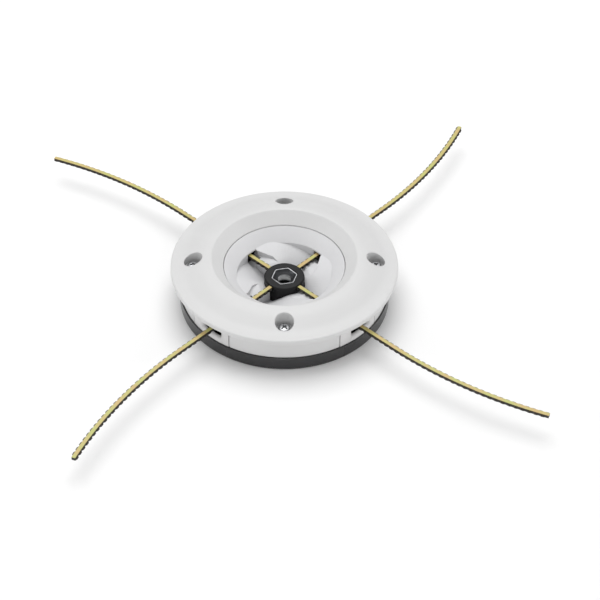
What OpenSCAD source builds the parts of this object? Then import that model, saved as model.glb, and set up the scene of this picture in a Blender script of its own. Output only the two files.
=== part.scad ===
// Fixed four-line trimmer head: a dark lower housing, a white brimmed cover with an inner funnel,
// a swirl-floored bowl insert, four flared eyelets, four serrated lines and a nut-carrying hub.
// Origin: on the turning axis, at the underside. +Z points along the axis, towards the funnel.

/* [Overall] */
// Outside diameter of the brim
brim_d = 155; // [150:0.5:165]
// Height of the crest above the underside
crest_z = 37.5; // [36.5:0.5:44]
// Diameter of the circle that the crest follows, as a share of the brim's
crest_share = 0.6387; // [0.62:0.001:0.66]
// Slope of the funnel below the crest, in degrees
funnel_slope = 43.7; // [41:0.1:46]

/* [Lower housing] */
// Distance that the dark housing stands out beyond the white band
housing_lip = 1; // [0.5:0.1:1.5]
// Height of its outer wall
base_h = 10.3; // [8:0.1:11.5]
// Thickness of its floor
floor_t = 3; // [2.5:0.1:3.4]
// Depth of the hollow ring moulded into its underside
relief_h = 1.2; // [0.4:0.1:2]
// Diameter of the flat pad in the middle of its underside
pad_d = 48; // [40:1:60]
// Number of stiffening ribs on its floor
rib_count = 8; // [4:4:8]
// Thickness of a rib
rib_t = 2; // [1:0.1:4]
// Height of a rib above the floor
rib_h = 4; // [2:0.5:6]

/* [Cover] */
// Distance from the brim's edge in to the white band under it
band_inset = 6.5; // [5.5:0.1:7.5]
// Thickness of the band's wall
band_t = 2.6; // [2:0.1:3]
// Height of the brim's top face
brim_z = 31.2; // [30.5:0.1:32]
// Thickness of the brim
brim_t = 4; // [2.5:0.1:5]
// Thickness of the dome, measured upright
dome_t = 3.2; // [2.2:0.1:3.6]
// Width of the level part of the brim, outside the dome's foot
brim_flat_w = 7.64; // [6.5:0.1:8.5]
// Width of the level crest before the dome falls away
crest_w = 6.6; // [5.5:0.1:7.5]
// Radius of the dome's shoulder
shoulder_r = 24; // [15:1:26]
// Radius of the hollow where the dome meets the brim
hollow_r = 16; // [6:1:17]
// Radius of the crest's inner edge
crest_edge_r = 1.6; // [0.5:0.1:2]
// Radius of the brim's edges
brim_edge_r = 1.2; // [0.5:0.1:1.2]
// Diameter of the fine joint between the cover and the bowl insert, as a share of the crest's
seam_share = 0.8414; // [0.82:0.001:0.86]
// Width of that joint
seam_gap = 0.35; // [0.2:0.05:0.6]
// Width of the cover's lip over the bowl's flange
lip_w = 3.6; // [3:0.1:4]
// Thickness of the lip at its thin edge
lip_t = 3.2; // [2:0.1:3.6]

/* [Cover screws] */
// Distance from the brim's edge in to the circle that the four cover screws stand on
screw_inset = 15.43; // [15:0.1:16.5]
// Diameter of a screw well
well_d = 12.6; // [11:0.1:12.8]
// Wall of the tube round a well
well_t = 1.8; // [1.2:0.1:1.9]
// Diameter of a screw head
head_d = 8; // [7:0.1:9]
// Height of a screw head
head_h = 2.6; // [2:0.1:3.2]
// Height of the top of the screw heads
head_top_z = 29.6; // [29:0.1:30.5]
// Diameter of a screw's shank
shank_d = 3.9; // [3:0.1:4.5]
// Length of a screw below its head
shank_l = 17; // [12:0.5:19]
// Thickness of the floor under a screw head
seat_t = 3.5; // [2:0.1:4.5]
// Width of a slot of the cross recess
recess_w = 1.1; // [0.8:0.1:1.4]
// Depth of the cross recess
recess_h = 1.5; // [0.8:0.1:1.7]

/* [Bowl insert] */
// Diameter inside the upright wall below the funnel, as a share of the joint's
wall_share = 0.7803; // [0.76:0.001:0.8]
// Thickness of the bowl's walls
bowl_t = 2.5; // [1.8:0.1:2.8]
// Height of the swirl floor at the hub, at the low start of a ramp
ramp_low_z = 5.4; // [5.2:0.1:6.5]
// Height that a ramp gains over its quarter turn, measured at the hub
ramp_rise = 8.8; // [6:0.1:9]
// Height that it gives back over the last quarter of its climb
ramp_fall = 0.7; // [0:0.1:1.5]
// Height that the swirl floor gains outwards, from the hub to the wall
ramp_lift = 7.6; // [6:0.1:8]
// Width of the line windows in the bowl's wall
window_w = 9.5; // [7:0.1:10.5]
// Height of the line windows
window_h = 9.6; // [8:0.1:10]
// Height of the windows' lower edge
window_low_z = 10.6; // [9.5:0.1:11.5]

/* [Line eyelets] */
// Angle that an eyelet block takes up on the band, in degrees
eyelet_angle = 28; // [26:0.5:32]
// Depth of an eyelet block, from the band's face inwards
eyelet_depth = 10.5; // [8:0.5:12]
// Width of the flared mouth
mouth_w = 18.6; // [14:0.1:22]
// Height of the flared mouth
mouth_h = 11.6; // [9:0.1:12]
// Height of the mouth's sill
sill_z = 13.4; // [12.8:0.1:14]
// Width of the dark joint at either side of an eyelet block
eyelet_gap = 0.3; // [0.1:0.05:0.5]
// Width of the throat that the line passes
throat_w = 7.4; // [6.2:0.1:9]
// Height of the throat
throat_h = 4.8; // [4:0.1:5.5]

/* [Lines] */
// Height of the middle of the lines
line_z = 17.5; // [17.2:0.1:18]
// Thickness of a line
line_t = 2.4; // [1.8:0.1:2.8]
// Width of a line over the tips of its teeth
line_w = 4.8; // [4.2:0.1:5.4]
// Width of the flat that runs along the middle of a line
line_flat_w = 2.4; // [2:0.1:2.8]
// Thickness of a tooth at its tip
tooth_edge_t = 0.6; // [0.3:0.1:1.2]
// Distance from one tooth to the next
tooth_pitch = 4.5; // [3.8:0.1:6]
// Width of a tooth at its root
tooth_root_w = 3; // [2.5:0.1:3.3]
// Width of a tooth at its tip
tooth_tip_w = 1.7; // [1:0.1:2]
// Radius at which a line ends inside the hub
line_start_r = 10.8; // [10.4:0.1:12]
// Length of the straight part of a line outside the band
line_out_l = 29; // [20:1:40]
// Radius of the bend that a line has taken from its coil
line_bend_r = 305; // [200:5:400]
// Angle of that bend, in degrees
line_bend_angle = 21.65; // [10:0.05:30]
// Angle between a line and the quarter that it leaves in, in degrees
line_skew = 1.3; // [0:0.1:2]

/* [Hub and nut] */
// Diameter of the hub
hub_d = 27.8; // [27:0.1:29]
// Height of the hub's top face
hub_top_z = 19.6; // [19.3:0.1:20]
// Distance across the two flats that key the hub
hub_flat_w = 20; // [19:0.1:21]
// Height of the round part of the hub above the flats
hub_head_t = 14; // [12:0.1:14.4]
// Chamfer of the hub's top edge
hub_chamfer = 0.9; // [0.3:0.1:1.2]
// Distance across the flats of the nut
nut_af = 16; // [15:0.1:16.5]
// Height of the nut
nut_h = 8; // [6:0.1:9]
// Angle that the nut is turned to
nut_turn = 12.7; // [0:0.1:30]
// Depth of the nut's top face below the hub's top
nut_sink = 0.2; // [0:0.1:0.4]
// Diameter at the crests of the nut's thread
thread_minor_d = 8.65; // [8:0.05:9]
// Diameter of the nut's wide countersink
nut_sink_d = 14.6; // [12:0.1:14.8]
// Diameter of the arbor's way through hub, housing and washer
arbor_d = 10.6; // [10.3:0.1:11.5]
// Diameter of the steel thrust washer
washer_d = 30; // [24:0.5:36]
// Thickness of the thrust washer
washer_t = 2; // [1:0.1:2.4]

/* [Line grips] */
// Length of a serrated grip plate, along the line
grip_l = 14; // [8:0.5:14]
// Width of a grip plate
grip_w = 8; // [6:0.1:10]
// Thickness of a grip plate over its ridges
grip_t = 1.6; // [1.2:0.1:2]
// Height of the ridges on a grip plate
ridge_h = 0.5; // [0.2:0.1:0.7]
// Distance between ridges
ridge_pitch = 2; // [1.5:0.1:3]

/* [Fits] */
// Clearance between pieces that slot together
fit = 0.15; // [0.1:0.05:0.3]
// Clearance left over faces that press on a line
nip = 0.05; // [0.02:0.01:0.1]

/* [Hidden] */
$fn = 96;

over = 1;
quarter = 90;
line_azimuth = 45;
brim_r = brim_d / 2;
band_r = brim_r - band_inset;
base_r = band_r + housing_lip;
crest_r = brim_r * crest_share;
seam_r = crest_r * seam_share;
bowl_wall_r = seam_r * wall_share;
screw_circle_r = brim_r - screw_inset;
dome_foot_r = brim_r - brim_flat_w;
line_straight = band_r + line_out_l;
hub_r = hub_d / 2;
floor_top_z = relief_h + floor_t;
brim_under_z = brim_z - brim_t;
band_in_r = band_r - band_t;
line_top_z = line_z + line_t / 2;
line_under_z = line_z - line_t / 2;
grip_z = line_under_z - nip - grip_t;
head_seat_z = head_top_z - head_h;
boss_wall = 2.5;
boss_d = shank_d + 2 * boss_wall;
boss_top_z = head_seat_z - seat_t - nip;
nut_top_z = hub_top_z - nut_sink;
nut_under_z = nut_top_z - nut_h;
hub_seat_z = washer_t + over;
head_under_z = hub_top_z - hub_head_t;
eyelet_in_r = band_r - eyelet_depth;
grip_start_r = (bowl_wall_r + bowl_t + eyelet_in_r - grip_l) / 2;
block_t = 4.4;
lip_out_r = seam_r + lip_w;

function funnel_z(r) = crest_z - (crest_r - r) * tan(funnel_slope);
dome_run = dome_foot_r - crest_r - crest_w;
dome_slope = atan((crest_z - brim_z) / dome_run);
dome_side = norm([dome_run, crest_z - brim_z]);
shoulder_fit_r = min(shoulder_r, min(0.8 * crest_w, 0.55 * dome_side) / tan(dome_slope / 2));
hollow_fit_r = min(hollow_r, min(0.6 * brim_flat_w, 0.4 * dome_side) / tan(dome_slope / 2));
function dome_z(r) = crest_z - (r - crest_r - crest_w) * tan(dome_slope);
lip_under_z = funnel_z(seam_r) - lip_t;
function funnel_r(z) = crest_r - (crest_z - z) / tan(funnel_slope);
bowl_cone_z = funnel_z(bowl_wall_r);

// A corner [x, y, radius] of an outline, rounded with an arc that is tangent to both sides
function unit(v) = v / norm(v);
function round_corner(a, b, c, steps = 6) =
    let (p = [b[0], b[1]], u = unit([a[0], a[1]] - p), v = unit([c[0], c[1]] - p),
        half = acos(max(-1, min(1, u * v))) / 2)
    b[2] == 0 ? [p] :
    let (run = b[2] / tan(half), middle = p + unit(u + v) * b[2] / sin(half),
        from = p + u * run - middle, to = p + v * run - middle,
        start = atan2(from[1], from[0]), turn = atan2(to[1], to[0]) - start,
        sweep = turn > 180 ? turn - 360 : turn < -180 ? turn + 360 : turn)
    [for (i = [0:steps]) middle + b[2] * [cos(start + sweep * i / steps), sin(start + sweep * i / steps)]];
function rounded(path) =
    let (n = len(path))
    [for (i = [0:n - 1]) each round_corner(path[(i + n - 1) % n], path[i], path[(i + 1) % n])];

module at_line(i) {
    rotate([0, 0, line_azimuth + i * quarter]) children();
}

module at_screw(i) {
    rotate([0, 0, i * quarter]) translate([screw_circle_r, 0, 0]) children();
}

module band_sector(angle, r_in, r_out, z_low, z_high) {
    rotate([0, 0, -angle / 2]) rotate_extrude(angle = angle)
        translate([r_in, z_low]) square([r_out - r_in, z_high - z_low]);
}

// The keyed section of the hub: a circle with two flats
module keyed_disc(gap) {
    intersection() {
        circle(r = hub_r + gap);
        square([hub_d + 2 * gap, hub_flat_w + 2 * gap], center = true);
    }
}

// Outer outline of the cover, from the seam over the crest and the brim to the foot of the band
cover_outside = [
    [seam_r, funnel_z(seam_r), 0],
    [crest_r, crest_z, crest_edge_r],
    [crest_r + crest_w, crest_z, shoulder_fit_r],
    [dome_foot_r, brim_z, hollow_fit_r],
    [brim_r, brim_z, brim_edge_r],
    [brim_r, brim_under_z, brim_edge_r],
    [band_r, brim_under_z, 0.6],
    [band_r, base_h, 0.4]];
inner_crest_z = crest_z - dome_t;
wall_drop = dome_t / cos(funnel_slope);
cover_inside = [
    [band_in_r, base_h, 0],
    [band_in_r, dome_z(band_in_r) - dome_t, 1],
    [crest_r + crest_w, inner_crest_z, 8],
    [funnel_r(inner_crest_z + wall_drop), inner_crest_z, 1],
    [lip_out_r, funnel_z(lip_out_r) - wall_drop, 0],
    [lip_out_r, lip_under_z, 0],
    [seam_r, lip_under_z, 0]];

module cover_filled() {
    rotate_extrude() polygon(rounded(concat(cover_outside, [[seam_r, base_h, 0]])));
}

module cover() {
    color("gainsboro") difference() {
        union() {
            rotate_extrude() polygon(rounded(concat(cover_outside, cover_inside)));
            intersection() {
                cover_filled();
                union() {
                    for (i = [0:3]) at_screw(i) translate([0, 0, head_seat_z - seat_t])
                        cylinder(d = well_d + 2 * well_t, h = crest_z);
                    for (i = [0:3]) at_line(i)
                        translate([lip_out_r + 2 * fit, -grip_w / 2, line_top_z + nip])
                            cube([grip_start_r + grip_l - lip_out_r, grip_w, crest_z]);
                }
            }
        }
        for (i = [0:3]) at_screw(i) {
            translate([0, 0, head_seat_z]) cylinder(d = well_d, h = crest_z);
            translate([0, 0, base_h]) cylinder(d = shank_d + 4 * fit, h = crest_z);
        }
        for (i = [0:3]) at_line(i)
            band_sector(eyelet_angle, band_in_r - over, band_r + over, base_h - over, brim_under_z);
    }
}

module rib(i) {
    turn = 360 / rib_count;
    rotate([0, 0, turn * (i + 0.5)]) translate([bowl_wall_r + bowl_t + over, -rib_t / 2, floor_top_z - over])
        cube([screw_circle_r - boss_d - bowl_wall_r - bowl_t, rib_t, rib_h + over]);
}

module grip_pedestal() {
    wall = 1.6;
    translate([grip_start_r - wall, -grip_w / 2 - wall, floor_top_z - over]) difference() {
        cube([grip_l + 2 * wall, grip_w + 2 * wall, grip_z - floor_top_z + over + grip_t / 2]);
        translate([wall - fit, wall - fit, grip_z - floor_top_z + over])
            cube([grip_l + 2 * fit, grip_w + 2 * fit, grip_t]);
    }
}

module base() {
    foot_w = 6;
    wall_t = 3.4;
    locating_h = 2.6;
    locating_gap = 6;
    color("#393939") difference() {
        union() {
            rotate_extrude() polygon(rounded([
                [arbor_d / 2, 0, 0], [pad_d / 2, 0, 0.3], [pad_d / 2 + relief_h, relief_h, 0.3],
                [base_r - foot_w - relief_h, relief_h, 0.3], [base_r - foot_w, 0, 0.3], [base_r, 0, 1.4],
                [base_r, base_h, 0.5], [base_r - wall_t - 0.2, base_h, 0],
                [base_r - wall_t - 0.2, floor_top_z, 0.3], [arbor_d / 2, floor_top_z, 0]]));
            difference() {
                rotate_extrude() translate([band_in_r - fit - 2.2, floor_top_z - over])
                    square([2.2, base_h + locating_h - floor_top_z + over]);
                for (i = [0:3]) at_line(i)
                    band_sector(eyelet_angle + 4, band_in_r - locating_gap, band_r, floor_top_z, brim_z);
            }
            for (i = [0:rib_count - 1]) rib(i);
            for (i = [0:3]) at_line(i) grip_pedestal();
            for (i = [0:3]) at_screw(i) translate([0, 0, floor_top_z - over])
                cylinder(d = boss_d, h = boss_top_z - floor_top_z + over);
        }
        translate([0, 0, hub_seat_z]) linear_extrude(floor_top_z) keyed_disc(fit);
        translate([0, 0, -over]) cylinder(d = washer_d + 2 * fit, h = over + washer_t + nip);
        for (i = [0:3]) at_screw(i) translate([0, 0, head_seat_z - shank_l - over])
            cylinder(d = shank_d + 2 * nip, h = crest_z);
    }
}

// One quarter of the swirl floor: from its low start it climbs anticlockwise and outwards,
// steeply at first, and it is almost level over the last third
function climb(t) =
    let (u = min(1, t / 0.7))
    (sin(quarter * u) + (1 - cos(2 * quarter * u)) / 2) / 2;
function ramp_top_z(r, t) =
    ramp_low_z + ramp_rise * climb(t) - ramp_fall * max(0, 4 * t - 3)
    + ramp_lift * (r - hub_r) / (bowl_wall_r - hub_r);
module swirl_ramp() {
    rings = 3;
    steps = 20;
    r_in = hub_flat_w / 2 - over;
    r_out = bowl_wall_r + 0.7 * bowl_t;
    under = bowl_seat_z;
    row = steps + 1;
    layer = (rings + 1) * row;
    top = [for (j = [0:rings], i = [0:steps])
        let (r = r_in + (r_out - r_in) * j / rings, a = quarter * i / steps)
        [r * cos(a), r * sin(a), max(under + over / 2, ramp_top_z(r, i / steps))]];
    flat = [for (p = top) [p[0], p[1], under]];
    faces_up = [for (j = [0:rings - 1], i = [0:steps - 1])
        each let (k = j * row + i) [[k, k + 1, k + row], [k + 1, k + row + 1, k + row]]];
    faces_down = [for (j = [0:rings - 1], i = [0:steps - 1])
        let (k = layer + j * row + i) [k, k + row, k + row + 1, k + 1]];
    side_in = [for (i = [0:steps - 1]) [i + 1, i, layer + i, layer + i + 1]];
    side_out = [for (i = [0:steps - 1]) let (k = rings * row + i) [k, k + 1, layer + k + 1, layer + k]];
    side_low = [for (j = [0:rings - 1]) let (k = j * row) [k, k + row, layer + k + row, layer + k]];
    side_high = [for (j = [0:rings - 1]) let (k = j * row + steps) [k + row, k, layer + k, layer + k + row]];
    polyhedron(concat(top, flat), concat(faces_up, faces_down, side_in, side_out, side_low, side_high));
}

bowl_seat_z = floor_top_z + 0.1;
bowl_rim_r = seam_r - seam_gap;
module bowl_shell() {
    flange_t = 2;
    flange_z = lip_under_z - nip;
    rise = bowl_t / cos(funnel_slope);
    out_r = bowl_wall_r + bowl_t;
    rotate_extrude() polygon(rounded([
        [bowl_wall_r, bowl_seat_z, 0], [bowl_wall_r, bowl_cone_z, 1],
        [bowl_rim_r, funnel_z(bowl_rim_r), 0.2], [bowl_rim_r, flange_z, 0],
        [lip_out_r - fit, flange_z, 0], [lip_out_r - fit, flange_z - flange_t, 0],
        [bowl_rim_r - over, flange_z - flange_t, 0], [out_r, funnel_z(out_r) - rise, 0],
        [out_r, bowl_seat_z, 0]]));
}

// The shelf under a line, which widens clockwise into a pocket at the wall
shelf_z = line_under_z - 0.2;
module line_clearance() {
    side = line_w / 2 + 1.8;
    flare_r = max(hub_r + over, bowl_wall_r - 11.5);
    flare_w = 9.7;
    out_r = bowl_wall_r + bowl_t + over;
    translate([0, 0, shelf_z]) linear_extrude(crest_z) polygon([
        [out_r, side], [hub_r - over, side], [hub_r - over, -flare_w], [flare_r, -flare_w],
        [bowl_wall_r - 1.5, -side], [out_r, -side]]);
}

// The window of a line, with the dark pit that it leaves beside the line in the floor
module line_window() {
    side = 3.6;
    pit_l = 5;
    pit_inset = 1.3;
    wall_l = 2 * bowl_t + over;
    translate([bowl_wall_r - pit_l, side + pit_inset - window_w, window_low_z])
        cube([pit_l + wall_l, window_w - pit_inset, window_h]);
    translate([bowl_wall_r - over, side - window_w, shelf_z])
        cube([wall_l, window_w, window_low_z + window_h - shelf_z]);
}

module inner_bowl() {
    color("whitesmoke") difference() {
        union() {
            bowl_shell();
            difference() {
                for (i = [0:3]) at_line(i) swirl_ramp();
                for (i = [0:3]) at_line(i) intersection() {
                    line_clearance();
                    cylinder(r = bowl_wall_r, h = crest_z);
                }
            }
        }
        translate([0, 0, bowl_seat_z - over]) linear_extrude(crest_z) keyed_disc(fit);
        translate([0, 0, head_under_z - 0.2]) cylinder(r = hub_r + fit, h = crest_z);
        for (i = [0:3]) at_line(i) line_window();
    }
}

module hub() {
    socket_gap = 0.2;
    color("#2a2a2c") difference() {
        union() {
            translate([0, 0, hub_seat_z]) linear_extrude(head_under_z - hub_seat_z) keyed_disc(0);
            translate([0, 0, head_under_z]) cylinder(r = hub_r, h = hub_head_t - hub_chamfer);
            translate([0, 0, hub_top_z - hub_chamfer])
                cylinder(r1 = hub_r, r2 = hub_r - hub_chamfer, h = hub_chamfer);
        }
        translate([0, 0, nut_under_z]) rotate([0, 0, nut_turn])
            cylinder(d = (nut_af + 2 * nip) / cos(30), h = crest_z, $fn = 6);
        cylinder(d = arbor_d, h = crest_z);
        for (i = [0:3]) at_line(i) rotate([0, 0, line_skew])
            translate([line_start_r - socket_gap, -line_w / 2 - socket_gap, line_under_z - socket_gap])
                cube([hub_r, line_w + 2 * socket_gap, line_t + 2 * socket_gap]);
    }
}

module nut() {
    corner_r = nut_af / 2 / cos(30);
    minor_r = thread_minor_d / 2;
    sink_h = nut_sink_d / 2 - minor_r;
    edge = 0.7;
    color("silver") difference() {
        intersection() {
            translate([0, 0, nut_under_z]) rotate([0, 0, nut_turn]) cylinder(r = corner_r, h = nut_h, $fn = 6);
            translate([0, 0, nut_under_z]) rotate_extrude() polygon([
                [0, 0], [corner_r - 2 * edge, 0], [corner_r + 0.01, edge], [corner_r + 0.01, nut_h - edge],
                [corner_r - 2 * edge, nut_h], [0, nut_h]]);
        }
        translate([0, 0, nut_under_z - over]) cylinder(r = minor_r, h = nut_h + 2 * over);
        translate([0, 0, nut_top_z - sink_h]) cylinder(r1 = minor_r, r2 = nut_sink_d / 2 + 0.01, h = sink_h + 0.01);
    }
}

module thrust_washer() {
    color("darkgray") difference() {
        cylinder(d = washer_d, h = washer_t);
        translate([0, 0, -over]) cylinder(d = arbor_d, h = washer_t + 2 * over);
    }
}

module mouth_slab(r, w, h, z) {
    corner = 1.8;
    translate([r, 0, z]) rotate([90, 0, 90]) linear_extrude(0.05) hull()
        for (x = [-1, 1], y = [-1, 1]) translate([x * (w / 2 - corner), y * (h / 2 - corner)])
            circle(r = corner, $fn = 24);
}

module eyelet() {
    mouth_z = sill_z + mouth_h / 2;
    waist_r = band_r - 4;
    waist_w = (mouth_w + 2 * throat_w) / 3;
    waist_h = (mouth_h + 2 * throat_h) / 3;
    slack = 2 * atan(eyelet_gap / band_r);
    color("white") difference() {
        union() {
            band_sector(eyelet_angle - slack, band_r - block_t, band_r, base_h, brim_under_z - nip);
            intersection() {
                translate([eyelet_in_r, -mouth_w / 2, line_z - mouth_h / 2])
                    cube([eyelet_depth - over, mouth_w, mouth_h]);
                cylinder(r = band_r - over, h = crest_z);
            }
        }
        rotate([0, 0, line_skew]) hull() {
            mouth_slab(band_r + 0.2, mouth_w, mouth_h, mouth_z);
            mouth_slab(waist_r, waist_w, waist_h, line_z);
        }
        rotate([0, 0, line_skew]) hull() {
            mouth_slab(waist_r, waist_w, waist_h, line_z);
            mouth_slab(eyelet_in_r - 0.2, throat_w, throat_h, line_z);
        }
    }
}

// A point of a line: s runs along it from the axis, side is the distance to its left
function line_turn(s) = line_skew + max(0, s - line_straight) / line_bend_r * 180 / PI;
function line_point(s, side) =
    let (turn = line_turn(s), run = min(s, line_straight))
    [run * cos(line_skew) + line_bend_r * (sin(turn) - sin(line_skew)) - side * sin(turn),
        run * sin(line_skew) + line_bend_r * (cos(line_skew) - cos(turn)) + side * cos(turn)];
line_end = line_straight + line_bend_r * line_bend_angle * PI / 180;

// The teeth of one edge of a line, as points along it: the two edges are half a pitch apart
function tooth_row(side, phase) =
    let (root = line_flat_w / 2 + 0.1, tip = line_w / 2 + 0.2,
        first = ceil((line_start_r + tooth_root_w / 2 - phase) / tooth_pitch),
        last = floor((line_end - tooth_root_w / 2 - phase) / tooth_pitch))
    [for (k = [first:last]) each let (s = phase + k * tooth_pitch) [
        line_point(s - tooth_root_w / 2, side * root), line_point(s - tooth_tip_w / 2, side * tip),
        line_point(s + tooth_tip_w / 2, side * tip), line_point(s + tooth_root_w / 2, side * root)]];
function reversed(list) = [for (i = [len(list) - 1:-1:0]) list[i]];

module line_section() {
    polygon([
        [-line_w / 2, -tooth_edge_t / 2], [-line_flat_w / 2, -line_t / 2], [line_flat_w / 2, -line_t / 2],
        [line_w / 2, -tooth_edge_t / 2], [line_w / 2, tooth_edge_t / 2], [line_flat_w / 2, line_t / 2],
        [-line_flat_w / 2, line_t / 2], [-line_w / 2, tooth_edge_t / 2]]);
}

module line() {
    root = line_flat_w / 2 + 0.1;
    left_phase = 2;
    core = 0.4 * line_t;
    core_l = 4;
    bend_middle = line_point(line_straight, line_bend_r);
    color("#c9b878") intersection() {
        translate([0, 0, line_z]) union() {
            rotate([0, 0, line_skew]) translate([line_start_r, 0, 0]) rotate([90, 0, 90])
                linear_extrude(line_straight - line_start_r) line_section();
            rotate([0, 0, line_skew]) translate([line_straight, 0, 0]) cube([core_l, core, core], center = true);
            translate([bend_middle[0], bend_middle[1], 0]) rotate([0, 0, line_skew - 90])
                rotate_extrude(angle = line_bend_angle, $fn = 360) translate([line_bend_r, 0]) line_section();
        }
        translate([0, 0, line_z - line_t]) linear_extrude(2 * line_t) polygon(concat(
            [line_point(line_start_r - over, -root)], tooth_row(-1, left_phase + tooth_pitch / 2),
            [line_point(line_end, -root), line_point(line_end, root)], reversed(tooth_row(1, left_phase)),
            [line_point(line_start_r - over, root)]));
    }
}

module grip_plate() {
    ridges = floor(grip_l / ridge_pitch);
    body_t = grip_t - ridge_h;
    color("darkgray") translate([grip_start_r, grip_w / 2, grip_z]) rotate([90, 0, 0])
        linear_extrude(grip_w) polygon(concat(
            [[0, 0], [grip_l, 0], [grip_l, body_t]],
            [for (k = [ridges - 1:-1:0]) each let (x = (grip_l - ridges * ridge_pitch) / 2 + k * ridge_pitch) [
                [x + ridge_pitch, body_t], [x + ridge_pitch * 0.7, grip_t], [x + ridge_pitch * 0.3, grip_t]]],
            [[(grip_l - ridges * ridge_pitch) / 2, body_t], [0, body_t]]));
}

module screw() {
    edge = 0.8;
    slot_l = head_d * 0.56;
    color("silver") difference() {
        rotate_extrude() polygon(rounded([
            [0, head_seat_z - shank_l, 0], [shank_d / 2 - edge, head_seat_z - shank_l, 0],
            [shank_d / 2, head_seat_z - shank_l + 2 * edge, 0], [shank_d / 2, head_seat_z, 0],
            [head_d / 2, head_seat_z, 0], [head_d / 2, head_top_z, 1.4], [0, head_top_z, 0]]));
        for (turn = [0, quarter]) rotate([0, 0, turn])
            translate([-slot_l / 2, -recess_w / 2, head_top_z - recess_h]) cube([slot_l, recess_w, head_h]);
    }
}

base();
cover();
inner_bowl();
hub();
nut();
thrust_washer();
at_line(0) eyelet();  // eyelet_1
at_line(1) eyelet();  // eyelet_2
at_line(2) eyelet();  // eyelet_3
at_line(3) eyelet();  // eyelet_4
at_line(0) line();  // line_1
at_line(1) line();  // line_2
at_line(2) line();  // line_3
at_line(3) line();  // line_4
at_line(0) grip_plate();  // grip_plate_1
at_line(1) grip_plate();  // grip_plate_2
at_line(2) grip_plate();  // grip_plate_3
at_line(3) grip_plate();  // grip_plate_4
at_screw(0) screw();  // screw_1
at_screw(1) screw();  // screw_2
at_screw(2) screw();  // screw_3
at_screw(3) screw();  // screw_4
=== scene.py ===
"""Looks of the fixed line trimmer head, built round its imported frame.

The head lies on its dark lower housing. The turning axis is Z, the cover screws stand on the X and Y
axes and the four lines leave between them. Every length below is in millimetres unless it says otherwise,
and one function turns millimetres into Blender's metres.
"""

import logging
import math
from dataclasses import dataclass
from enum import Enum

import bmesh
import bpy
import numpy as np
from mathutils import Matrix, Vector


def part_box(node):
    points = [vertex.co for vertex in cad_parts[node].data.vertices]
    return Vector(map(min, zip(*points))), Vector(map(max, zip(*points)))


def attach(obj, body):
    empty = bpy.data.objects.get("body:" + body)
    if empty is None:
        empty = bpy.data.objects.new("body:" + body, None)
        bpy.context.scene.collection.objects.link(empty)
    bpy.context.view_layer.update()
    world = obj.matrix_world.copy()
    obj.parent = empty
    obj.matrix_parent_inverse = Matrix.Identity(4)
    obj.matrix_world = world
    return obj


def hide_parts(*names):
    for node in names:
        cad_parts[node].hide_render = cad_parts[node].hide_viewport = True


LOG = logging.getLogger("trimmer_head")

MM = 0.001
BODY = "root"
QUARTER = math.pi / 2
LINE_AZIMUTH = math.pi / 4
QUARTERS = range(4)
# How far each screw's cross is turned, in radians
SCREW_TURNS = (0.4, 1.1, 0.2, 0.75)
# How far the band of the eyelets lies inside the brim's edge
BAND_INSET = 6.5
SHARP_ANGLE = math.radians(32)
# Rings that the wave texture draws in one unit at a scale of one: it is the sine of 20 times the radius
RINGS_PER_UNIT = 10 / math.pi

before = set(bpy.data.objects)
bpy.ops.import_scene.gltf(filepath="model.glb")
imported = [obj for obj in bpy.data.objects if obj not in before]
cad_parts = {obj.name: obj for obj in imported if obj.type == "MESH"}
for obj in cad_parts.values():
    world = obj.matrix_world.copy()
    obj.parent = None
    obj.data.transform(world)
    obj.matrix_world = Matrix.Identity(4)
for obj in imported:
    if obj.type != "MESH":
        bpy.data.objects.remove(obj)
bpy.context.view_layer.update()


# Colours and nodes

def linear(hex_colour: str) -> tuple[float, float, float, float]:
    """Turns an sRGB hex colour into Blender's linear RGBA.

    Args:
        hex_colour: six hex digits after a hash sign.

    Returns:
        Red, green, blue and an alpha of one, all linear.
    """
    parts = np.array([int(hex_colour[i:i + 2], 16) for i in (1, 3, 5)]) / 255.0
    low, high = parts / 12.92, ((parts + 0.055) / 1.055) ** 2.4
    red, green, blue = np.where(parts <= 0.04045, low, high)
    return float(red), float(green), float(blue), 1.0


def add_node(tree: bpy.types.NodeTree, kind: str, settings: dict | None = None,
             inputs: dict | None = None) -> bpy.types.Node:
    """Adds one shader node with its settings and inputs.

    Args:
        tree: the material's node tree.
        kind: Blender's type name of the node.
        settings: attribute names and their values.
        inputs: socket names or numbers and what goes in, either a value or another node's output.

    Returns:
        The new node.
    """
    node = tree.nodes.new(kind)
    for name, value in (settings or {}).items():
        setattr(node, name, value)
    for name, value in (inputs or {}).items():
        if isinstance(value, bpy.types.NodeSocket):
            tree.links.new(value, node.inputs[name])
        else:
            node.inputs[name].default_value = value
    return node


def new_material(name: str) -> tuple[bpy.types.Material, bpy.types.Node]:
    """Makes a material that holds only its main shader.

    Args:
        name: what the real material is.

    Returns:
        The material and its shader.
    """
    made = bpy.data.materials.new(name)
    made.use_nodes = True
    return made, made.node_tree.nodes["Principled BSDF"]


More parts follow.
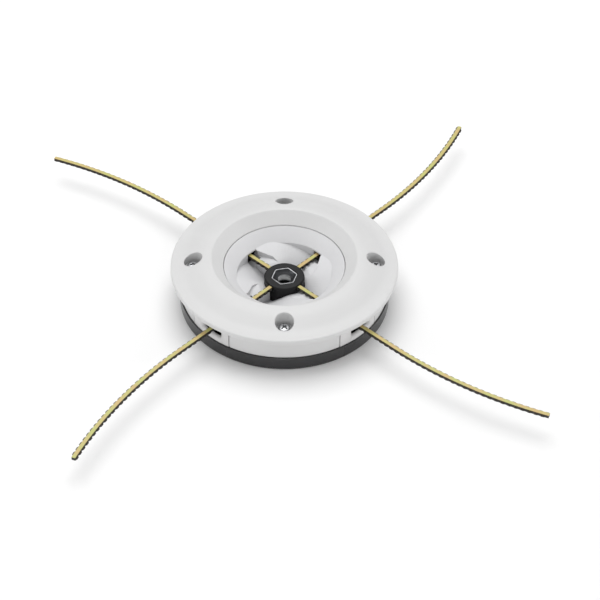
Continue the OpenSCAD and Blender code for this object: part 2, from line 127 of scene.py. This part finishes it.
def height_bands(tree: bpy.types.NodeTree, place: bpy.types.NodeSocket, low_mm: float, high_mm: float,
                 stops: list[tuple[float, str]]) -> bpy.types.NodeSocket:
    """Colours a piece in bands by the height of each point.

    Args:
        tree: the material's node tree.
        place: the Object coordinates.
        low_mm: height of the lowest band's foot.
        high_mm: height of the highest band's top.
        stops: shares of that height, rising, each with its sRGB hex colour.

    Returns:
        The colour output.
    """
    split = add_node(tree, "ShaderNodeSeparateXYZ", inputs={0: place})
    height = add_node(tree, "ShaderNodeMapRange", inputs={
        "Value": split.outputs["Z"], "From Min": low_mm * MM, "From Max": high_mm * MM})
    bands = add_node(tree, "ShaderNodeValToRGB", inputs={"Fac": height.outputs["Result"]})
    ramp = bands.color_ramp
    while len(ramp.elements) < len(stops):
        ramp.elements.new(0.5)
    for element, (share, colour) in zip(ramp.elements, stops):
        element.position = share
        element.color = linear(colour)
    return bands.outputs["Color"]


# Finishes

@dataclass(frozen=True)
class MouldedPlastic:
    """Injection-moulded nylon: an even colour, a spark-eroded grain and faint flow marks.

    The eye sees a satin sheet whose highlights break up very slightly. A real grain is about 0.1 mm, and it
    is drawn coarser so that it shows.
    """

    name: str
    colour: str
    shade: str
    roughness: float
    grain_mm: float = 0.7
    grain_height_mm: float = 0.012
    flow_mm: float = 26.0
    gloss_spread: float = 0.05
    edge_mm: float = 0.6
    edge_samples: int = 6
    ior: float = 1.50

    def material(self) -> bpy.types.Material:
        """Builds the material.

        Returns:
            The finished Blender material.
        """
        made, shader = new_material(self.name)
        tree = made.node_tree
        place = add_node(tree, "ShaderNodeTexCoord").outputs["Object"]
        flow = add_node(tree, "ShaderNodeTexNoise", inputs={
            "Vector": place, "Scale": 1 / (self.flow_mm * MM), "Detail": 3.0, "Roughness": 0.55})
        tone = add_node(tree, "ShaderNodeMix", {"data_type": "RGBA"}, {
            0: flow.outputs["Fac"], 6: linear(self.shade), 7: linear(self.colour)})
        tree.links.new(tone.outputs[2], shader.inputs["Base Color"])
        grain = add_node(tree, "ShaderNodeTexNoise", inputs={
            "Vector": place, "Scale": 1 / (self.grain_mm * MM), "Detail": 2.0, "Roughness": 0.6})
        gloss = add_node(tree, "ShaderNodeMapRange", inputs={
            "Value": flow.outputs["Fac"], "To Min": self.roughness - self.gloss_spread,
            "To Max": self.roughness + self.gloss_spread})
        tree.links.new(gloss.outputs["Result"], shader.inputs["Roughness"])
        edge = add_node(tree, "ShaderNodeBevel", {"samples": self.edge_samples}, {
            "Radius": self.edge_mm * MM})
        bump = add_node(tree, "ShaderNodeBump", inputs={
            "Height": grain.outputs["Fac"], "Strength": 0.35, "Distance": self.grain_height_mm * MM,
            "Normal": edge.outputs["Normal"]})
        tree.links.new(bump.outputs["Normal"], shader.inputs["Normal"])
        shader.inputs["IOR"].default_value = self.ior
        return made


@dataclass(frozen=True)
class PlatedSteel:
    """Machined steel with a bright zinc plating: turned rings under a thin skin.

    The eye sees a light grey metal whose highlights are drawn out along fine rings. Real rings are about
    0.2 mm apart, and they are drawn coarser so that they show. A piece can also take colour bands by its
    heights: on the nut and the screws they are painted shade, dark in the hollows where shade falls.
    """

    name: str
    colour: str
    roughness: float
    ring_mm: float = 1.021
    ring_height_mm: float = 0.01
    cloud_mm: float = 3.0
    smoother: float = 0.07
    rougher: float = 0.09
    low_mm: float = 0.0
    high_mm: float = 1.0
    bands: tuple[tuple[float, str], ...] = ()

    def material(self) -> bpy.types.Material:
        """Builds the material.

        Returns:
            The finished Blender material.
        """
        made, shader = new_material(self.name)
        tree = made.node_tree
        place = add_node(tree, "ShaderNodeTexCoord").outputs["Object"]
        turned = add_node(tree, "ShaderNodeTexWave", {"wave_type": "RINGS", "rings_direction": "Z"}, {
            "Vector": place, "Scale": 1 / (self.ring_mm * MM * RINGS_PER_UNIT),
            "Distortion": 1.5, "Detail": 2.0, "Detail Scale": 1.5})
        clouds = add_node(tree, "ShaderNodeTexNoise", inputs={
            "Vector": place, "Scale": 1 / (self.cloud_mm * MM), "Detail": 3.0})
        gloss = add_node(tree, "ShaderNodeMapRange", inputs={
            "Value": clouds.outputs["Fac"], "To Min": self.roughness - self.smoother,
            "To Max": self.roughness + self.rougher})
        tree.links.new(gloss.outputs["Result"], shader.inputs["Roughness"])
        bump = add_node(tree, "ShaderNodeBump", inputs={
            "Height": turned.outputs["Fac"], "Strength": 0.3, "Distance": self.ring_height_mm * MM})
        tree.links.new(bump.outputs["Normal"], shader.inputs["Normal"])
        shader.inputs["Base Color"].default_value = linear(self.colour)
        if self.bands:
            tree.links.new(height_bands(tree, place, self.low_mm, self.high_mm, list(self.bands)),
                           shader.inputs["Base Color"])
        shader.inputs["Metallic"].default_value = 1.0
        return made


@dataclass(frozen=True)
class DrawnNylon:
    """Extruded nylon strip: a straw-gold flat on top, with painted shade on its flanks and cut edges.

    The eye sees a bright stripe, with faint warm and green patches, between two dark toothed edges. The
    flanks are dark olive and the cut edges near-black: painted shade on the strip's sides. The bands
    follow the height above the strip's middle, because flat, flanks and edges differ in height.
    """

    name: str
    flat: str
    flank: str
    edge: str
    middle_mm: float
    half_t_mm: float
    edge_half_t_mm: float
    roughness: float = 0.38
    ior: float = 1.53
    streak_mm: float = 4.0
    streak_height_mm: float = 0.03
    patch_mm: float = 9.0
    warm: str = "#FFEBD6"
    green: str = "#EEFFCE"

    def material(self) -> bpy.types.Material:
        """Builds the material.

        Returns:
            The finished Blender material.
        """
        made, shader = new_material(self.name)
        tree = made.node_tree
        place = add_node(tree, "ShaderNodeTexCoord").outputs["Object"]
        edge_top = 0.5 + self.edge_half_t_mm / self.half_t_mm / 2
        flank_foot, flank_top, flat_foot = edge_top + 0.1, 0.95, 0.985
        low_mm, high_mm = self.middle_mm - self.half_t_mm, self.middle_mm + self.half_t_mm
        # The flank and edge bands are painted shade on the strip's sides
        bands = height_bands(tree, place, low_mm, high_mm, [
            (0.0, self.edge), (edge_top, self.edge), (flank_foot, self.flank),
            (flank_top, self.flank), (flat_foot, self.flat)])
        streaks = add_node(tree, "ShaderNodeTexNoise", inputs={
            "Vector": place, "Scale": 1 / (self.streak_mm * MM), "Detail": 4.0, "Roughness": 0.6})
        patches = add_node(tree, "ShaderNodeTexNoise", inputs={
            "Vector": place, "Scale": 1 / (self.patch_mm * MM), "Detail": 2.0})
        spread = add_node(tree, "ShaderNodeMapRange", inputs={
            "Value": patches.outputs["Fac"], "From Min": 0.35, "From Max": 0.65})
        tone = add_node(tree, "ShaderNodeMix", {"data_type": "RGBA"}, {
            0: spread.outputs["Result"], 6: linear(self.warm), 7: linear(self.green)})
        tinted = add_node(tree, "ShaderNodeMix", {"data_type": "RGBA", "blend_type": "MULTIPLY"}, {
            0: 1.0, 6: bands, 7: tone.outputs[2]})
        tree.links.new(tinted.outputs[2], shader.inputs["Base Color"])
        bump = add_node(tree, "ShaderNodeBump", inputs={
            "Height": streaks.outputs["Fac"], "Strength": 0.25, "Distance": self.streak_height_mm * MM})
        tree.links.new(bump.outputs["Normal"], shader.inputs["Normal"])
        shader.inputs["Roughness"].default_value = self.roughness
        shader.inputs["IOR"].default_value = self.ior
        return made


class Finish(Enum):
    """The finishes of the head, one for each kind of piece."""

    COVER = MouldedPlastic("white_moulded_nylon", "#CDCDCD", "#C8C8C8", roughness=0.48, edge_mm=0.9)
    BOWL = MouldedPlastic("white_moulded_insert", "#D3D3D4", "#CDCDCF", roughness=0.45)
    EYELET = MouldedPlastic("white_moulded_eyelet", "#D3D2D2", "#CCCBCB", roughness=0.42, edge_mm=0.4)
    BASE = MouldedPlastic("charcoal_moulded_nylon", "#2E2E2F", "#282829", roughness=0.22,
                          grain_height_mm=0.006)
    # The hub is the base's nylon coloured darker still: painted shade for the shade that falls on it in the
    # bowl
    HUB = MouldedPlastic("dark_nylon_painted_shade", "#161617", "#111112", roughness=0.5, edge_mm=0.4, ior=1.34)
    # Painted shade: the dark bands colour the nut's hollow, while the thread and the rim keep the metal's
    # grey
    NUT = PlatedSteel("zinc_plated_nut", "#D2D3D5", roughness=0.3, low_mm=11.4, high_mm=19.4, bands=(
        (0.0, "#C9CACB"), (0.62, "#C9CACB"), (0.68, "#4E4F51"), (0.97, "#3F4042"), (0.985, "#C3C4C6")))
    # Painted shade: the bands colour the cross recess and the dome's rim near-black, and the head's sides
    # darker
    SCREW = PlatedSteel("zinc_plated_screw", "#DADBDD", roughness=0.36, low_mm=27.0, high_mm=30.2, bands=(
        (0.0, "#8E8F90"), (0.6, "#9A9B9C"), (0.68, "#262627"), (0.84, "#BCBDBF"), (1.0, "#CDCED0")))
    STEEL = PlatedSteel("milled_steel", "#A9A9A8", roughness=0.36)
    # Painted shade: the dark flank and edge colours stand in for the shade on the strip's sides
    LINE = DrawnNylon("serrated_nylon", flat="#C4B886", flank="#251E10", edge="#120E07",
                      middle_mm=17.5, half_t_mm=1.2, edge_half_t_mm=0.3)

    def material(self) -> bpy.types.Material:
        """Returns this finish's material, built once."""
        return bpy.data.materials.get(self.value.name) or self.value.material()


def dress(piece: bpy.types.Object, finish: Finish) -> None:
    """Gives a piece one finish and leaves its mesh alone.

    Args:
        piece: the object to dress.
        finish: which finish it takes.
    """
    slots = piece.data.materials
    if len(slots):
        slots[0] = finish.material()
    else:
        slots.append(finish.material())


NODE_FINISH = {
    "base": Finish.BASE, "cover": Finish.COVER, "inner_bowl": Finish.BOWL, "hub": Finish.HUB,
    "nut": Finish.NUT, "thrust_washer": Finish.STEEL, "eyelet": Finish.EYELET, "line": Finish.LINE,
    "grip_plate": Finish.STEEL, "screw": Finish.SCREW}


def family(node: str) -> str:
    """Returns a node's name without its number, such as line for line_2."""
    stem, _, number = node.rpartition("_")
    return stem if number.isdigit() else node


# Studio

@dataclass
class Studio:
    """Floor, lights and the camera at the photograph's view."""

    elevation: float = 42.45
    distance_mm: float = 1356.0
    focal_px: float = 1961.0
    frame_px: int = 600
    centre_px: tuple[float, float] = (284.4, 296.84)
    sensor_mm: float = 36.0
    floor_colour: str = "#F0F0F0"
    floor_half_m: float = 3.6
    floor_columns: int = 61
    flat_m: float = 2.3
    lift_per_m: float = 0.8
    paper_roughness: float = 0.9
    view_reach_m: float = 20.0
    sky: float = 0.58

    def camera(self) -> bpy.types.Object:
        """Makes the camera. It looks at the origin, and a small shift puts the origin on its pixel.

        Returns:
            The camera object.
        """
        data = bpy.data.cameras.new("camera")
        data.sensor_width = self.sensor_mm
        data.lens = self.focal_px / self.frame_px * self.sensor_mm
        half = self.frame_px / 2
        data.shift_x = (half - self.centre_px[0]) / self.frame_px
        data.shift_y = (self.centre_px[1] - half) / self.frame_px
        data.clip_end = self.view_reach_m
        camera = bpy.data.objects.new("camera", data)
        bpy.context.scene.collection.objects.link(camera)
        tilt = math.radians(self.elevation)
        camera.location = Vector((0, -math.cos(tilt), math.sin(tilt))) * self.distance_mm * MM
        camera.rotation_euler = (math.pi / 2 - tilt, 0, 0)
        bpy.context.scene.camera = camera
        return camera

    def floor(self) -> bpy.types.Object:
        """Makes a plain pale floor that is flat round the head and curves up far out on every side.

        Its height is the lift times the square of how far a point lies outside the flat circle.

        Returns:
            The floor object.
        """
        line = np.linspace(-self.floor_half_m, self.floor_half_m, self.floor_columns)
        across, along = np.meshgrid(line, line, indexing="ij")
        outside = np.maximum(np.hypot(across, along) - self.flat_m, 0)
        floor = sheet_mesh("floor", np.stack([across, along, self.lift_per_m * outside ** 2], axis=-1))
        floor.data.polygons.foreach_set("use_smooth", np.ones(len(floor.data.polygons), dtype=bool))
        made, shader = new_material("studio_paper")
        shader.inputs["Base Color"].default_value = linear(self.floor_colour)
        shader.inputs["Roughness"].default_value = self.paper_roughness
        floor.data.materials.append(made)
        return floor

    def softbox(self, name: str, at_mm: tuple[float, float, float], size_mm: float, watts: float) -> None:
        """Hangs one square soft light that faces the head.

        Args:
            name: the light's name.
            at_mm: where its middle is.
            size_mm: the length of its side.
            watts: its power.
        """
        data = bpy.data.lights.new(name, "AREA")
        data.shape = "SQUARE"
        data.size = size_mm * MM
        data.energy = watts
        light = bpy.data.objects.new(name, data)
        bpy.context.scene.collection.objects.link(light)
        light.location = Vector(at_mm) * MM
        light.rotation_euler = (-light.location).to_track_quat("-Z", "Y").to_euler()
        light.visible_camera = False

    def build(self) -> None:
        """Sets the whole studio up."""
        self.camera()
        self.floor()
        self.softbox("top_light", at_mm=(-100, 480, 1450), size_mm=1300, watts=15.3)
        self.softbox("left_light", at_mm=(-2000, -200, 620), size_mm=700, watts=7.4)
        self.softbox("right_light", at_mm=(2000, -70, 600), size_mm=700, watts=8.8)
        self.softbox("front_light", at_mm=(0, -2150, 600), size_mm=700, watts=8.4)
        world = bpy.data.worlds.new("studio_world")
        bpy.context.scene.world = world
        world.use_nodes = True
        sky = world.node_tree.nodes["Background"]
        sky.inputs["Color"].default_value = linear("#FFFFFF")
        sky.inputs["Strength"].default_value = self.sky
        bpy.context.scene.view_settings.view_transform = "Standard"


# Surfaces

def sheet_mesh(name: str, points: np.ndarray, closed_u: bool = False,
               closed_v: bool = False) -> bpy.types.Object:
    """Turns a grid of points into a mesh object.

    Args:
        name: the object's name.
        points: an array of rows, columns and three coordinates, in metres.
        closed_u: whether the last row joins the first.
        closed_v: whether the last column joins the first.

    Returns:
        The object, linked to the scene.
    """
    rows, columns = points.shape[:2]
    index = np.arange(rows * columns).reshape(rows, columns)
    if closed_u:
        index = np.concatenate([index, index[:1]], axis=0)
    if closed_v:
        index = np.concatenate([index, index[:, :1]], axis=1)
    corners = [index[:-1, :-1], index[:-1, 1:], index[1:, 1:], index[1:, :-1]]
    faces = np.stack(corners, axis=-1).reshape(-1, 4)
    mesh = bpy.data.meshes.new(name)
    mesh.from_pydata(points.reshape(-1, 3).tolist(), [], faces.tolist())
    mesh.update()
    made = bpy.data.objects.new(name, mesh)
    bpy.context.scene.collection.objects.link(made)
    return made


def closed_mesh(name: str, points: np.ndarray, poles: bool) -> bpy.types.Object:
    """Turns rings of points, from the bottom up, into a closed mesh with outward faces.

    Args:
        name: the object's name.
        points: an array of rings, columns round the axis and three coordinates, in metres.
        poles: whether a point in the middle closes the first and the last ring. Without poles the last
            ring joins the first, as on a nut.

    Returns:
        The object, smooth but for its sharp edges.
    """
    made = sheet_mesh(name, points, closed_u=not poles, closed_v=True)
    shape = bmesh.new()
    shape.from_mesh(made.data)
    if poles:
        bmesh.ops.holes_fill(shape, edges=[edge for edge in shape.edges if edge.is_boundary])
        bmesh.ops.poke(shape, faces=[face for face in shape.faces if len(face.verts) > 4])
    bmesh.ops.recalc_face_normals(shape, faces=shape.faces[:])
    shape.to_mesh(made.data)
    shape.free()
    made.data.polygons.foreach_set("use_smooth", np.ones(len(made.data.polygons), dtype=bool))
    made.data.set_sharp_from_angle(angle=SHARP_ANGLE)
    return made


def rings(radius: np.ndarray, height: np.ndarray, turn: np.ndarray,
          middle: tuple[float, float]) -> np.ndarray:
    """Places rings round an upright axis: x = r cos t, y = r sin t, and z is the height.

    Args:
        radius: the radius of each ring at each column, in millimetres.
        height: the height of each ring at each column, in millimetres.
        turn: the angle of each column.
        middle: where the axis stands, in millimetres.

    Returns:
        The points in metres.
    """
    across = middle[0] + radius * np.cos(turn)
    along = middle[1] + radius * np.sin(turn)
    return np.stack([across, along, np.broadcast_to(height, across.shape)], axis=-1) * MM


def box_mm(node: str) -> tuple[np.ndarray, np.ndarray]:
    """Returns a CAD node's lowest and highest corners in millimetres."""
    low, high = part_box(node)
    return np.array(low) / MM, np.array(high) / MM


@dataclass
class HubNut:
    """The hex nut: a thin bright rim, a hollow that turns from hexagon to circle, and a cut thread."""

    flats_mm: float = 16.0
    corner_r: float = 9.1
    roundness: float = 24.0
    turn: float = math.radians(12.7)
    rim_mm: float = 0.5
    step_r: float = 6.1
    step_drop: float = 1.5
    sink_r: float = 5.5
    sink_drop: float = 1.9
    bore_drop: float = 2.9
    crest_r: float = 4.325
    thread_mm: float = 0.66
    pitch_mm: float = 1.25
    bevel_mm: float = 0.15
    foot_mm: float = 0.4
    slope_share: float = 0.55
    crest_share: float = 0.12
    flank_share: float = 0.76
    columns: int = 180
    rows_per_turn: int = 12

    def build(self) -> bpy.types.Object:
        """Builds the nut between the CAD nut's faces.

        The hexagon's radius is half its width over the cosine of the angle from the nearest flat. It is
        blended with a circle as (h^-n + c^-n)^(-1/n), the smaller of the two but for a round corner. The
        thread is r = crest + depth v, where v rises and falls once for each pitch of the height plus the
        turn, so that the groove climbs to the left.

        Returns:
            The nut.
        """
        low, high = (corner[2] for corner in box_mm("nut"))
        turn = self.turn + np.linspace(0, 2 * math.pi, self.columns, endpoint=False)
        from_flat = np.mod(turn - self.turn, math.pi / 3) - math.pi / 6
        sharp = self.flats_mm / 2 / np.cos(from_flat)
        hexagon = (sharp ** -self.roundness + self.corner_r ** -self.roundness) ** (-1 / self.roundness)
        round_one = np.ones(self.columns)
        edge = self.bevel_mm
        loop = [
            (self.crest_r + self.thread_mm, low), (hexagon - 2 * edge, low), (hexagon, low + 2 * edge),
            (hexagon, high - edge), (hexagon - edge, high), (hexagon - self.rim_mm, high),
            (hexagon - self.rim_mm - edge, high - edge),
            ((hexagon - self.rim_mm + self.step_r) / 2 - edge, high - self.slope_share * self.step_drop),
            (self.step_r + edge, high - self.step_drop), (self.step_r, high - self.step_drop - edge),
            (self.sink_r, high - self.sink_drop),
            (self.crest_r + 0.5 * edge, high - self.bore_drop + 0.5 * edge)]
        radius = np.array([ring * round_one for ring, _ in loop])
        height = np.array([ring_z * round_one for _, ring_z in loop])
        top, foot = high - self.bore_drop, low + self.foot_mm
        count = int((top - foot) / self.pitch_mm * self.rows_per_turn)
        bore_z = np.linspace(top, foot, count)[:, None] * round_one
        phase = np.mod(bore_z / self.pitch_mm + turn / (2 * math.pi), 1.0)
        vee = np.clip((np.abs(2 * phase - 1) - self.crest_share) / self.flank_share, 0, 1)
        fade = np.clip(np.minimum(top - bore_z, bore_z - foot) / self.pitch_mm, 0, 1)
        radius = np.concatenate([radius, self.crest_r + self.thread_mm * vee * fade])
        height = np.concatenate([height, bore_z])
        return closed_mesh("hex_nut", rings(radius, height, turn, (0.0, 0.0)), poles=False)


@dataclass
class CoverScrew:
    """A domed screw with a cross recess whose arms narrow and deepen towards the middle."""

    head_r: float = 4.0
    head_mm: float = 2.6
    crown_mm: float = 0.6
    dome_mm: float = 1.0
    shank_r: float = 1.95
    arm_half_mm: float = 0.78
    arm_mm: float = 2.7
    arm_taper: float = 0.45
    arm_wall_mm: float = 0.2
    arm_end_mm: float = 1.1
    recess_mm: float = 1.2
    rim_mm: float = 0.12
    middle_r: float = 0.06
    tip_mm: float = 1.2
    tip_r: float = 0.4
    tip_step_mm: float = 0.5
    bevel_mm: float = 0.2
    columns: int = 144
    rows: int = 46

    def build(self, node: str, turn_by: float) -> bpy.types.Object:
        """Builds one screw in the place of a CAD screw.

        The top's middle stands a crown above the CAD head. From there the top falls by dome (r / R)^3, and
        by the recess too. The recess is its depth times two even ramps: one across the nearest arm,
        narrower the further out, and one towards the arm's end.

        Args:
            node: the CAD screw.
            turn_by: the angle of the recess.

        Returns:
            The screw.
        """
        low, high = box_mm(node)
        middle = tuple((low[:2] + high[:2]) / 2)
        top, foot, seat = high[2] + self.crown_mm, low[2], high[2] - self.head_mm
        turn = np.linspace(0, 2 * math.pi, self.columns, endpoint=False)
        radius = np.linspace(self.head_r - self.rim_mm, self.middle_r, self.rows)[:, None]
        local_x, local_y = radius * np.cos(turn - turn_by), radius * np.sin(turn - turn_by)
        beside = np.minimum(np.abs(local_x), np.abs(local_y))
        along = np.maximum(np.abs(local_x), np.abs(local_y))
        half = self.arm_half_mm * (1 - self.arm_taper * along / self.arm_mm)
        across = np.clip((half - beside) / self.arm_wall_mm + 0.5, 0, 1)
        inside = across * np.clip((self.arm_mm - along) / self.arm_end_mm, 0, 1)
        dome = top - self.dome_mm * (radius / self.head_r) ** 3 * np.ones(self.columns)
        face_z = dome - self.recess_mm * inside
        body = [(self.tip_r, foot), (self.shank_r - self.tip_step_mm, foot),
                (self.shank_r, foot + self.tip_mm), (self.shank_r, seat),
                (self.head_r - self.bevel_mm, seat), (self.head_r, seat + self.bevel_mm),
                (self.head_r, top - self.dome_mm - self.bevel_mm / 2)]
        round_one = np.ones(self.columns)
        all_r = np.concatenate([np.array([r * round_one for r, _ in body]), radius * round_one])
        all_z = np.concatenate([np.array([z * round_one for _, z in body]), face_z])
        return closed_mesh(f"cross_{node}", rings(all_r, all_z, turn, middle), poles=True)


@dataclass
class MouthBlock:
    """A line eyelet: a block of the band with a wide mouth, whose lip is rolled inwards all round."""

    block_turn: float = math.radians(26.9)
    block_mm: float = 4.4
    mouth_w: float = 21.4
    mouth_h: float = 13.8
    sill_z: float = 11.3
    lip_r: float = 2.6
    wall_mm: float = 2.7
    relief_mm: float = 3.2
    skew: float = math.radians(1.3)
    roundness: float = 6.0
    side_columns: int = 28
    lip_rows: int = 10

    def build(self, node: str, azimuth: float) -> bpy.types.Object:
        """Builds one eyelet in the place of a CAD eyelet.

        A column runs round a rectangle from -1 to 1 both ways. The mouth is that rectangle divided by the
        sixth root of u^6 + v^6, which rounds its corners. The lip goes through a quarter circle: its
        distance out is r (1 - sin q) and its depth r (1 - cos q). A width runs along the band's arc.

        Args:
            node: the CAD eyelet.
            azimuth: the angle of the line that it serves.

        Returns:
            The eyelet.
        """
        low, high = box_mm(node)
        band_r = box_mm("cover")[1][0] - BAND_INSET
        step = np.linspace(-1, 1, self.side_columns, endpoint=False)
        one = np.ones(self.side_columns)
        across = np.concatenate([step, one, -step, -one])
        upright = np.concatenate([-one, step, one, -step])
        power = self.roundness
        rounding = (np.abs(across) ** power + np.abs(upright) ** power) ** (1 / power)
        block_w = band_r * self.block_turn / 2
        block_z, block_h = (low[2] + high[2]) / 2, (high[2] - low[2]) / 2
        block = (across * block_w, block_z + upright * block_h)

        def mouth(grow: float) -> tuple[np.ndarray, np.ndarray]:
            """Returns the mouth's outline, grown by a distance from its narrowest part."""
            half_w, half_h = self.mouth_w / 2 - self.lip_r + grow, self.mouth_h / 2 - self.lip_r + grow
            return (band_r * self.skew + across / rounding * half_w,
                    self.sill_z + self.mouth_h / 2 + upright / rounding * half_h)

        rolls = np.linspace(0, math.pi / 2, self.lip_rows)
        loop = [(block, self.block_mm), (block, 0.0)]
        loop += [(mouth(self.lip_r * (1 - math.sin(q))), self.lip_r * (1 - math.cos(q))) for q in rolls]
        loop += [(mouth(0.0), self.wall_mm), (mouth(self.relief_mm), self.wall_mm),
                 (mouth(self.relief_mm), self.block_mm)]
        radius = np.array([(band_r - depth) * np.ones(across.size) for _, depth in loop])
        height = np.array([outline[1] for outline, _ in loop])
        turn = np.array([azimuth + outline[0] / band_r for outline, _ in loop])
        return closed_mesh(f"mouth_{node}", rings(radius, height, turn, (0.0, 0.0)), poles=False)


def fit_piece(piece: bpy.types.Object, node: str, finish: Finish) -> None:
    """Puts a finished piece in the place of a CAD node.

    Args:
        piece: the new piece.
        node: the CAD node that it replaces.
        finish: which finish it takes.
    """
    dress(piece, finish)
    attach(piece, BODY)
    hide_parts(node)


def main() -> None:
    """Builds the studio and dresses every piece in order."""
    logging.basicConfig(level=logging.INFO, format="%(name)s: %(message)s")
    Studio().build()
    for name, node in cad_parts.items():
        dress(node, NODE_FINISH[family(name)])
        LOG.info("dressed %s", name)
    fit_piece(HubNut().build(), "nut", Finish.NUT)
    for quarter in QUARTERS:
        node = f"eyelet_{quarter + 1}"
        azimuth = LINE_AZIMUTH + quarter * QUARTER
        fit_piece(MouthBlock().build(node, azimuth), node, Finish.EYELET)
    for number, turn_by in enumerate(SCREW_TURNS, start=1):
        node = f"screw_{number}"
        fit_piece(CoverScrew().build(node, turn_by), node, Finish.SCREW)


if __name__ == "__main__":
    main()
